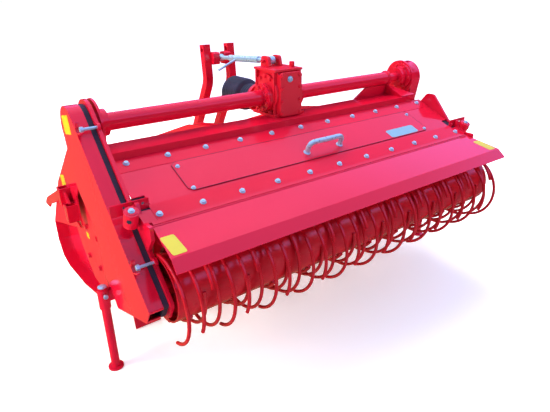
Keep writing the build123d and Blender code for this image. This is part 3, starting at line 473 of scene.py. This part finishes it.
for node, strip_from, strip_to, strip_half in STRIPS:
    strip_line = along_deck(-strip_half, strip_half, (strip_from + strip_to) / 2, STRIP_T / 2)
    strip_shape = carried(bar((strip_to - strip_from) / 2, STRIP_T / 2), strip_line, RISE)
    strip = made(node + "_plate", [strip_shape], satin_paint, FRAME_BODY)
    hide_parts(node)
# Zinc finish: its cyan base colour paints in a reflection of a blue sky.
galvanised_sky_tinted = clouded(ZINC_SKY_BLUE, ZINC, cloud=(60.0, 3.0), rough=(0.2, 0.2), skin=(900.0, 1.0, 0.1, 0.0004))
zinc = finish("zinc plate", {"Metallic": 0.6}, galvanised_sky_tinted)
bolt_x = np.linspace(-STRIP_BOLT_HALF, STRIP_BOLT_HALF, STRIP_BOLTS)
strip_spots = on_deck([(x, down, STRIP_T) for down in (0, ROW_GAP) for x in bolt_x])
made("strip_bolts", [set_on(hex_bolt(STRIP_BOLT), strip_spots, RISE)], zinc, FRAME_BODY)
hatch_spots = on_deck([(x, down, HATCH_T) for x in HATCH_BOLT_X for down in HATCH_BOLT_ALONG])
made("hatch_bolts", [set_on(hex_bolt(HATCH_BOLT), hatch_spots, RISE)], zinc, FRAME_BODY)
# Rubber finish: its paler bluish patches are a painted sheen.
moulded = clouded(RUBBER, RUBBER_BLUE_SHEEN, cloud=(25.0, 4.0), rough=(0.4, 0.25), skin=(500.0, 2.0, 0.2, 0.0006))
rubber = finish("black rubber", {"Specular IOR Level": 0.4}, moulded)
# A black rubber cord round the hatch's edge draws the seam's gap as a dark line, as painted shade.
edge_x = HATCH_HALF - np.array((HATCH_CORNER, 0, 0, HATCH_CORNER))
edge_down = np.array((HATCH_FROM, HATCH_FROM + HATCH_CORNER, HATCH_TO - HATCH_CORNER, HATCH_TO))
cord_x = np.concatenate((edge_x, -edge_x[::-1], edge_x[:1]))
cord_down = np.concatenate((edge_down, edge_down[::-1], edge_down[:1]))
cord_line = on_deck(np.column_stack((cord_x, cord_down, np.full(len(cord_x), CORD_UP))))
made("hatch_seam_shade_cord", [carried(ring_of(CORD_R, CORD_SIDES), cord_line, RISE)], rubber, FRAME_BODY)

# Hatch handle. A steel tube with two round bends, zinc plated, that stands on the hatch on two washers welded
# to its ends.
GRIP_HALF, GRIP_HEIGHT, GRIP_ALONG = 0.115, 0.062, 0.206
GRIP_R, GRIP_SIDES, GRIP_BEND, BEND_STEPS = 0.0132, 24, 0.030, 12
# Washer columns: radius, height, share of a hexagon.
WASHER = ((0.019, -0.0005, 0), (0.019, 0.003, 0), (0.0165, 0.0042, 0), (0.0135, 0.008, 0), (0.012, 0.0085, 0))
WASHER_SIDES = 32
bend = np.linspace(0, np.pi / 2, BEND_STEPS)
leg_x = np.append(GRIP_HALF, GRIP_HALF - GRIP_BEND + GRIP_BEND * np.cos(bend))
leg_up = np.append(0, GRIP_HEIGHT - GRIP_BEND + GRIP_BEND * np.sin(bend)) + HATCH_T
grip_x, grip_up = np.append(leg_x, -leg_x[::-1]), np.append(leg_up, leg_up[::-1])
grip_line = on_deck(np.column_stack((grip_x, np.full(len(grip_x), GRIP_ALONG), grip_up)))
grip = carried(ring_of(GRIP_R, GRIP_SIDES), grip_line, SLOPE)
feet = on_deck([(x, GRIP_ALONG, HATCH_T) for x in (-GRIP_HALF, GRIP_HALF)])
washers = set_on(turned(WASHER, WASHER_SIDES), feet, RISE)
handle = made("handle_tube", [grip, washers], zinc, FRAME_BODY)
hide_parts("hatch_handle")

# Front hood, flap stops and sockets. Bent sheet over the rotor, and small perforated plates and pipe stubs
# welded on beside the flap's hinge, with black rubber pads sunk in the deck's notches as painted shade inside
# them, and a narrow apron at the deck's end.
SOCKET_X, SOCKET_ALONG, SOCKET_R, SOCKET_HALF, SOCKET_BOLT = 1.111, 0.322, 0.031, 0.036, 0.011
CAP_UP, CAP_SIDES = 0.003, 36
# Cap and plug columns: radius, height, share of a hexagon.
SOCKET_CAP = ((0.024, -0.002, 0), (0.024, 0.001, 0), (0.021, CAP_UP, 0), (0, CAP_UP, 0))
SOCKET_PLUG = ((0.0095, -0.003, 0), (0.0095, 0.0012, 0), (0, 0.0012, 0))
PLUG_UP, PLUG_SIDES, PLUG_OUT = 0.008, 24, (-0.6, -0.74, -0.30)
PAD_FROM, PAD_TO, PAD_ALONG, PAD_UP, PAD_HALF, PAD_T = 1.010, 1.064, 0.2575, -0.010, 0.0475, 0.004
APRON_HALF, APRON_ALONG = 1.048, 0.3785
# Apron columns: distance down the slope from the deck's end, height.
APRON = ((-0.0066, -0.006), (0.0102, -0.006), (0.0102, -0.0023),
         (0.0115, 0.0012), (0.0115, 0.0021), (-0.0066, 0.0016))
for node in ("front_hood", "flap_stop_left", "flap_stop_right", "hinge_socket_left", "hinge_socket_right"):
    soften(node, paint, SHEET_ROUND)
tops = on_deck([(side * SOCKET_X, SOCKET_ALONG, SOCKET_HALF) for side in (-1, 1)])
made("socket_caps", [set_on(turned(SOCKET_CAP, CAP_SIDES), tops, RISE)], paint, FRAME_BODY)
made("socket_bolts", [set_on(hex_bolt(SOCKET_BOLT), tops + CAP_UP * RISE, RISE)], zinc, FRAME_BODY)
plug_out = np.array(PLUG_OUT) / np.linalg.norm(PLUG_OUT) * ((1, 1, 1), (-1, 1, 1))
plug_at = on_deck([(side * SOCKET_X, SOCKET_ALONG, PLUG_UP) for side in (-1, 1)]) + SOCKET_R * plug_out
made("socket_plugs", [set_on(turned(SOCKET_PLUG, PLUG_SIDES), plug_at, plug_out)],
     rubber, FRAME_BODY)
# Black rubber pads sunk under the deck's notches paint in the shade inside the notches.
pad_lines = [along_deck(side * PAD_FROM, side * PAD_TO, PAD_ALONG, PAD_UP) for side in (-1, 1)]
made("notch_shade_pads", [carried(bar(PAD_HALF, PAD_T / 2), line, RISE) for line in pad_lines],
     rubber, FRAME_BODY)
apron_line = along_deck(APRON_HALF, -APRON_HALF, APRON_ALONG, 0)
made("deck_apron", [carried(np.array(APRON), apron_line, RISE)], paint, FRAME_BODY)

# Left chain case. A pressed cover with rounded edges over the roller's chain, drawn onto a thick rubber seal
# by two eyebolts that lie across the seal in lugs on the cover.
COVER_ROUND, SEAL_ROUND = 0.0035, 0.002
CASE_OUT, CASE_ALONG = np.array((0, -0.70, 0.714)), np.array((0, 0.714, 0.70))
CLAMPS = np.array(((-1.115, -0.185, 1.192), (-1.115, -0.652, 0.737)))
CLAMP_LIFT = 0.020
ROD_FROM, ROD_TO, ROD_R, ROD_SIDES = -0.030, 0.036, 0.0065, 16
NUT_R, NUT_T, NUT_AT, NUT_EDGE, NUT_SIDES = 0.0125, 0.014, -0.023, 0.002, 36
EAR_R, EAR_T, EAR_AT, EAR_SIDES = 0.017, 0.014, 0.036, 32
BOW_AT, BOW_W, BOW_T = -0.0425, 0.0075, 0.003
# Bow columns: distance along the case's edge, height off it.
BOW = ((-0.031, 0.037), (-0.026, 0.035), (-0.021, 0.026), (-0.018, 0.012), (-0.010, 0.005), (0.010, 0.005),
       (0.018, 0.012), (0.021, 0.026), (0.026, 0.035), (0.031, 0.037))
soften("left_chain_cover", paint, COVER_ROUND)
soften("left_seal", rubber, SEAL_ROUND)
rod_line = np.linspace(ROD_FROM, ROD_TO, 6)[:, None] * RIGHT
clamp_rod = carried(ring_of(ROD_R, ROD_SIDES), rod_line, CASE_OUT)
nut = turned(((NUT_R, 0, 1), (NUT_R, NUT_T - NUT_EDGE, 1), (0.8 * NUT_R, NUT_T, 0)), NUT_SIDES)
clamp_nut = set_on(nut, NUT_AT * RIGHT, -RIGHT)
raised = CLAMPS + CLAMP_LIFT * CASE_OUT
made("case_clamps", [(points + place, faces) for place in raised for points, faces in (clamp_rod, clamp_nut)],
     zinc, FRAME_BODY)
bow_line = BOW_AT * RIGHT + np.array(BOW) @ np.array((CASE_ALONG, CASE_OUT))
bow_points, bow_faces = carried(bar(BOW_T, BOW_W), bow_line, RIGHT)
ears = set_on(turned(((EAR_R, 0, 0), (EAR_R, EAR_T, 0)), EAR_SIDES), raised + EAR_AT * RIGHT, RIGHT)
made("case_lugs", [(bow_points + place, bow_faces) for place in CLAMPS] + [ears],
     paint, FRAME_BODY)

# Right chain case and the bearings. A welded case over the rotor's chain, a thick bearing carrier with four
# bolts on the left flank, and a round housing on the roller's right end.
CASTING_DEEP, CASTING = (0.54, 0.004, 0.016, 1), (0.64, 0.007, 0.024, 1)
CASE_ROUND, CARRIER_ROUND, HOUSING_ROUND = 0.004, 0.002, 0.003
CARRIER_BOLT, HOUSING_BOLT = 0.014, 0.010
CARRIER_SPOTS = np.array(((-1.120, 0.122, 0.616), (-1.120, -0.046, 0.614),
                          (-1.120, 0.163, 0.426), (-1.120, -0.010, 0.426)))
HOUSING_X, HOUSING_AT, HOUSING_R = 1.108, (-0.673, 0.620), 0.058
cast = clouded(CASTING_DEEP, CASTING, cloud=(9.0, 4.0), rough=(0.24, 0.16), skin=(170.0, 3.0, 0.25, 0.0012))
casting = finish("red enamel on castings", {"Coat Weight": 0.35, "Coat Roughness": 0.1}, cast)
soften("rotor_chain_case", paint, CASE_ROUND)
soften("rotor_bearing_left", casting, CARRIER_ROUND)
soften("roller_bearing_right", casting, HOUSING_ROUND)
made("carrier_bolts", [set_on(hex_bolt(CARRIER_BOLT), CARRIER_SPOTS, -RIGHT)],
     casting, FRAME_BODY)
housing_spots = circle_at(HOUSING_X, HOUSING_AT, HOUSING_R, even_turn(4, np.pi / 4))
made("housing_bolts", [set_on(hex_bolt(HOUSING_BOLT), housing_spots, RIGHT)], zinc, FRAME_BODY)

# Side bracket and stand sleeves. Two short pipe sleeves and a flame-cut hook welded to the left flank, and on
# each flank a sleeve that takes the stand's leg.
for node in ("side_bracket_left", "stand_bracket_left", "stand_bracket_right"):
    soften(node, paint)

# Gearbox. A ribbed iron casting with bolted side flanges, rear cover and top plate, in a satin coat of the
# same red, set on the main beam with four larger bolts.
BOX_ROUND = 0.003
BACK, UP = np.array((0, -1.0, 0)), np.array((0, 0, 1.0))
BOX_BOLT, NECK_BOLT, FOOT_BOLT, HUB_BOLT = 0.010, 0.008, 0.014, 0.009
COVER_Y, COVER_X, COVER_Z = -0.190, (-0.061, 0.061), (1.112, 1.179, 1.246, 1.313)
FOOT_Z, FOOT_X, FOOT_Y = 1.106, (-0.090, 0.090), (-0.115, -0.020)
FLANGE_X, FLANGE_R = -0.125, 0.060
NECK_Y, NECK_Z, NECK_R = 0.112, 1.145, 0.074
BOSS_X, BOSS_AT, BOSS_R, BOSS_DEGREES = -0.089, (-0.0675, 1.2125), 0.092, (60, 90, 120, 240, 270, 300)
HUB_X, HUB_R = 1.046, 0.072
# Plug and breather columns: radius, height, share of a hexagon.
DRAIN_PLUG = ((0.017, 0, 0), (0.017, 0.003, 0), (0.013, 0.0032, 1), (0.013, 0.012, 1), (0.010, 0.014, 0))
BREATHER = ((0.0155, 0, 1), (0.0155, 0.005, 1), (0.011, 0.007, 0), (0, 0.0075, 0))
DRAIN_AT, BREATHER_AT = np.array((-0.010, COVER_Y, 1.296)), np.array((0.060, -0.1175, 1.371))
for node in ("gearbox_housing", "gearbox_rear_cover", "gearbox_top_plate"):
    soften(node, casting, BOX_ROUND)
cover_spots = np.array([(x, COVER_Y, z) for x in COVER_X for z in COVER_Z])
foot_spots = np.array([(x, y, FOOT_Z) for x in FOOT_X for y in FOOT_Y])
eighths = even_turn(8, np.pi / 8)
flange_spots = circle_at(FLANGE_X, TUBE_AT, FLANGE_R, eighths)
neck_spots = circle_at(NECK_Y, (0, NECK_Z), NECK_R, eighths)[:, (1, 0, 2)]
boss_spots = circle_at(BOSS_X, BOSS_AT, BOSS_R, np.radians(BOSS_DEGREES))
# Bolt group columns: thread size, places, direction of the heads.
BOX_BOLTS = ((BOX_BOLT, cover_spots, BACK), (BOX_BOLT, flange_spots, -RIGHT),
             (BOX_BOLT, flange_spots * (-1, 1, 1), RIGHT), (NECK_BOLT, neck_spots, BACK),
             (BOX_BOLT, boss_spots, -RIGHT), (BOX_BOLT, boss_spots * (-1, 1, 1), RIGHT),
             (FOOT_BOLT, foot_spots, UP))
made("gearbox_bolts", [set_on(hex_bolt(size), spots, heads) for size, spots, heads in BOX_BOLTS],
     casting, FRAME_BODY)
hub_spots = circle_at(HUB_X, TUBE_AT, HUB_R, even_turn(6))
made("hub_bolts", [set_on(hex_bolt(HUB_BOLT), hub_spots, -RIGHT)], casting, FRAME_BODY)
made("gearbox_plug", [set_on(turned(DRAIN_PLUG, BOLT_SIDES), DRAIN_AT, BACK)], zinc, FRAME_BODY)
made("gearbox_breather", [set_on(turned(BREATHER, BOLT_SIDES), BREATHER_AT, UP)],
     casting, FRAME_BODY)

# Guard and stub of the power take-off. A blow-moulded black bell with ribs round it, wider at its mouth, over
# a machined steel shaft.
PTO_Z, GUARD_BACK, GUARD_LONG, GUARD_STEPS, GUARD_SIDES = 1.145, 0.136, 0.264, 133, 64
GUARD_R, GUARD_FLARE, FLARE_AT, FLARE_LONG, GUARD_WALL = 0.072, 0.026, 0.099, 0.018, 0.005
RIB_HIGH, RIB_PITCH = 0.0016, 0.022
STEEL, STEEL_DARK = (0.52, 0.52, 0.53, 1), (0.3, 0.3, 0.31, 1)
STUB_ROUND = 0.001
# The black plastic takes the rubber's colours, with the same painted bluish sheen.
blown = clouded(RUBBER, RUBBER_BLUE_SHEEN, cloud=(18.0, 3.0), rough=(0.3, 0.2), skin=(350.0, 2.0, 0.12, 0.0006))
plastic = finish("black plastic", {"Specular IOR Level": 0.5}, blown)
run = np.linspace(0, GUARD_LONG, GUARD_STEPS)
wide = GUARD_R + GUARD_FLARE * np.clip((run - FLARE_AT) / FLARE_LONG, 0, 1)
ribs = RIB_HIGH * np.cos(run * 2 * np.pi / RIB_PITCH)
outside = np.column_stack((wide - RIB_HIGH + ribs, run, np.zeros_like(run)))
inside = np.column_stack((wide - GUARD_WALL, run, np.zeros_like(run)))[::-1]
bell = turned(np.vstack((outside, inside, outside[:1])), GUARD_SIDES, ended=False)
guard = made("guard_bell", [set_on(bell, np.array((0, GUARD_BACK, PTO_Z)), -BACK)],
             plastic, FRAME_BODY)
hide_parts("pto_guard")
machined = clouded(STEEL_DARK, STEEL, cloud=(40.0, 4.0), rough=(0.28, 0.2))
steel = finish("bare steel", {"Metallic": 1.0}, machined)
soften("pto_shaft", steel, STUB_ROUND)

# Hitch. Two arms of paired flame-cut plate, a cross bar with hardened pins, the mast that tilts on it and the
# turnbuckle stay that sets its lean.
HITCH_ROUND, STAY_ROUND = 0.002, 0.001
for node in ("hitch_arm_left", "hitch_arm_right", "hitch_crossbar", "mast_uprights", "mast_clevis"):
    soften(node, paint, HITCH_ROUND)
for node in ("stay_barrel", "stay_rod"):
    soften(node, zinc, STAY_ROUND)

# Digging rotor. A heavy tube with flanges, forged arms and dished spades that dig under the hood, bolted up
# and painted with the frame.
SPADE_ROUND = 0.001
soften("digging_rotor", paint, SPADE_ROUND)

# Spike roller. Round bar bent to hooks, two at each station of a tube drum with open ends, welded on in four
# steps of turn and sprayed deep red.
TINE_RED_DEEP, TINE_RED = (0.38, 0.003, 0.008, 1), (0.52, 0.004, 0.012, 1)
ROLLER_AT = np.array(joints["roller_spin"]["pos_m"])
DRUM_R, DRUM_HALF, DRUM_WALL, DRUM_SIDES = 0.146, 1.058, 0.008, 72
AXLE_R, AXLE_HALF, DISC_AT, DISC_DISH = 0.030, 1.080, 1.018, 0.0002
TINE_R, TINE_SIDES, TINE_ROOT, TINE_TIP = 0.0082, 12, 0.151, 0.241
TINE_SWEEP, SWEEP_STEPS = np.radians(172), 29
TINE_PITCH, TINE_STATIONS = 0.0525, 41
TINE_FIRST, TINE_STEPS = 72, (0, 315, 90, 45)
tined = clouded(TINE_RED_DEEP, TINE_RED, cloud=(14.0, 3.0), rough=(0.16, 0.14),
                skin=(260.0, 2.0, 0.1, 0.0008))
tine_paint = finish("red enamel on tines", {"Coat Weight": 0.5, "Coat Roughness": 0.06}, tined)
sweep = np.linspace(-TINE_SWEEP, 0, SWEEP_STEPS)
hook_r, hook_off = (TINE_TIP + TINE_ROOT) / 2, (TINE_TIP - TINE_ROOT) / 2
hook_line = circle_at(0.0, (-hook_off, 0), -hook_r, sweep)
hook, hook_faces = carried(ring_of(TINE_R, TINE_SIDES), hook_line, RIGHT)
count = np.arange(2 * TINE_STATIONS)
station = count // 2
turn = np.radians(TINE_FIRST + np.array(TINE_STEPS)[station % 4] + 180 * (count % 2))[:, None]
tine_x = ((station - (TINE_STATIONS - 1) / 2) * TINE_PITCH)[:, None] + hook[:, 0]
tine_y = np.cos(turn) * hook[:, 1] - np.sin(turn) * hook[:, 2]
tine_z = np.sin(turn) * hook[:, 1] + np.cos(turn) * hook[:, 2]
tines = np.stack((tine_x, tine_y, tine_z), -1).reshape(-1, 3) + ROLLER_AT
tine_faces = (hook_faces[None] + len(hook) * count[:, None, None]).reshape(-1, 4)
# Drum end columns: radius, place along the axle, share of a hexagon.
DRUM_END = np.array(((AXLE_R, -AXLE_HALF, 0), (AXLE_R, -DISC_AT - DISC_DISH, 0),
                     (DRUM_R - DRUM_WALL, -DISC_AT, 0), (DRUM_R - DRUM_WALL, -DRUM_HALF, 0),
                     (DRUM_R, -DRUM_HALF, 0)))
drum, drum_faces = turned(np.vstack((DRUM_END, DRUM_END[::-1] * (1, -1, 1))), DRUM_SIDES)
drum = np.column_stack((drum[:, 2], drum[:, 0], drum[:, 1])) + ROLLER_AT
reel = made("roller_reel", [(tines, tine_faces), (drum, drum_faces)], tine_paint, "roller")
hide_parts("spike_roller")

# Rear flap. A folded sheet with a turned-down lip over the roller, hung on a tube hinge at the deck's end.
# The tube is drawn thinner than the solid's, so that the sheet seems to start at the deck.
HINGE_AT = np.array(joints["flap_swing"]["pos_m"])
TUBE_R, TUBE_SHOWN, TUBE_HALF, TUBE_WITHIN = 0.011, 0.0062, 1.0585, 0.0005
FLAP_ROUND = 0.0012
flap_mesh = soften("rear_flap", paint, FLAP_ROUND).data
flap_points = np.empty(3 * len(flap_mesh.vertices))
flap_mesh.vertices.foreach_get("co", flap_points)
flap_points = flap_points.reshape(-1, 3)
from_hinge = (flap_points - HINGE_AT) * (0, 1, 1)
on_tube = np.abs(np.linalg.norm(from_hinge, axis=1) - TUBE_R) < TUBE_WITHIN
on_tube &= np.abs(flap_points[:, 0]) < TUBE_HALF
flap_points[on_tube] -= from_hinge[on_tube] * (1 - TUBE_SHOWN / TUBE_R)
flap_mesh.vertices.foreach_set("co", flap_points.ravel())

# Stands. Round legs on turned feet that slide in their sleeves, with a plated cap on each and a plated pin
# through the sleeve, which holds the leg.
LEG_X, LEG_Y, LEG_TOP = 1.195, -0.270, 0.474
PIN_OUT, PIN_DROP = 0.027, 0.034
# Cap and pin columns: radius, height, share of a hexagon.
LEG_CAP = ((0.0205, 0, 0), (0.0205, 0.004, 0), (0.016, 0.0075, 0), (0.008, 0.009, 0), (0, 0.0095, 0))
PIN_HEAD = ((0.007, 0, 0), (0.007, 0.010, 0), (0.011, 0.0102, 0), (0.011, 0.016, 0), (0.009, 0.018, 0))
LEG_CAP_SIDES, PIN_SIDES = 32, 24
for node in ("stand_leg_left", "stand_leg_right"):
    soften(node, paint)
leg_cap, pin_head = turned(LEG_CAP, LEG_CAP_SIDES), turned(PIN_HEAD, PIN_SIDES)
for side, label in ((-1, "left"), (1, "right")):
    leg_top = np.array((side * LEG_X, LEG_Y, LEG_TOP))
    made("stand_cap_" + label, [set_on(leg_cap, leg_top, UP)], zinc, "stand_" + label)
    pin_ends = leg_top + np.array(((0, -PIN_OUT, -PIN_DROP), (0, PIN_OUT, -PIN_DROP)))
    pins = set_on(pin_head, pin_ends, np.array((BACK, -BACK)))
    made("stand_pin_" + label, [pins], zinc, FRAME_BODY)

# Blank plates. Thin foil signs, yellow on the case, the flank and the flap, pale blue on the hatch, glued to
# the paint, with nothing on them.
YELLOW, YELLOW_WORN = (0.58, 0.53, 0.004, 1), (0.51, 0.46, 0.004, 1)
BLUE, BLUE_WORN = (0.17, 0.36, 0.45, 1), (0.20, 0.39, 0.47, 1)
FOIL_CLOUD, FOIL_ROUGH = (35.0, 3.0), (0.22, 0.2)
FOIL_T, FOIL_SUNK, FOIL_SIDES, FOIL_POWER = 0.0008, 0.3, 96, 0.2
FLAP_RUN, FLAP_DROP, FLAP_T = 0.206, 0.041, 0.003
DOWN_FLAP = np.array((0, -FLAP_RUN, -FLAP_DROP)) / np.hypot(FLAP_RUN, FLAP_DROP)
OFF_FLAP = np.array((0, DOWN_FLAP[2], -DOWN_FLAP[1]))
FLAP_SIGN_X, FLAP_SIGN_ALONG, FLAP_SIGN_WIDE, FLAP_SIGN_HIGH = 1.034, 0.140, 0.060, 0.120
# Flank sign columns: middle, width, height, direction of the width, direction of the height.
FLANK_SIGNS = (((-1.165, -0.040, 1.198), 0.105, 0.085, (0, -0.984, 0.176), (0, 0.176, 0.984)),
               ((-1.150, 0.320, 0.815), 0.085, 0.075, (0, -0.96, 0.28), (0, 0.28, 0.96)),
               ((-1.120, 0.135, 0.560), 0.045, 0.030, (0, -1, 0), (0, 0, 1)))
HATCH_SIGN, HATCH_SIGN_WIDE, HATCH_SIGN_HIGH = (0.617, 0.224, HATCH_T), 0.236, 0.068
yellow = finish("yellow foil", {"Coat Weight": 0.3}, clouded(YELLOW_WORN, YELLOW, FOIL_CLOUD, FOIL_ROUGH))
blue = finish("pale blue foil", {"Coat Weight": 0.3}, clouded(BLUE_WORN, BLUE, FOIL_CLOUD, FOIL_ROUGH))


def rounded(share):
    """A cosine or sine drawn out by its sign and a small power, which squares a circle."""
    return np.sign(share) * np.abs(share) ** FOIL_POWER


def blank_plate(middle, wide, high, first, second):
    """A rounded flat sign: a superellipse of power 10 in two directions, raised by its thickness."""
    turn = even_turn(FOIL_SIDES)
    flat = np.outer(rounded(np.cos(turn)) * wide / 2, first)
    flat += np.outer(rounded(np.sin(turn)) * high / 2, second)
    lift = np.cross(first, second) * FOIL_T
    sunk = -FOIL_SUNK * lift
    rows = np.asarray(middle, float) + np.stack((flat * 0 + sunk, flat + sunk, flat + lift, flat * 0 + lift))
    return rows.reshape(-1, 3), quads(len(rows), FOIL_SIDES)


on_flap = HINGE_AT + FLAP_SIGN_ALONG * DOWN_FLAP + FLAP_T * OFF_FLAP
made("flap_plates", [blank_plate(on_flap + side * FLAP_SIGN_X * RIGHT, FLAP_SIGN_WIDE, FLAP_SIGN_HIGH,
                                 RIGHT, -DOWN_FLAP) for side in (-1, 1)], yellow, "flap")
made("flank_plates", [blank_plate(*sign) for sign in FLANK_SIGNS], yellow, FRAME_BODY)
hatch_sign = blank_plate(on_deck([HATCH_SIGN])[0], HATCH_SIGN_WIDE, HATCH_SIGN_HIGH, RIGHT, -SLOPE)
made("hatch_plate", [hatch_sign], blue, FRAME_BODY)
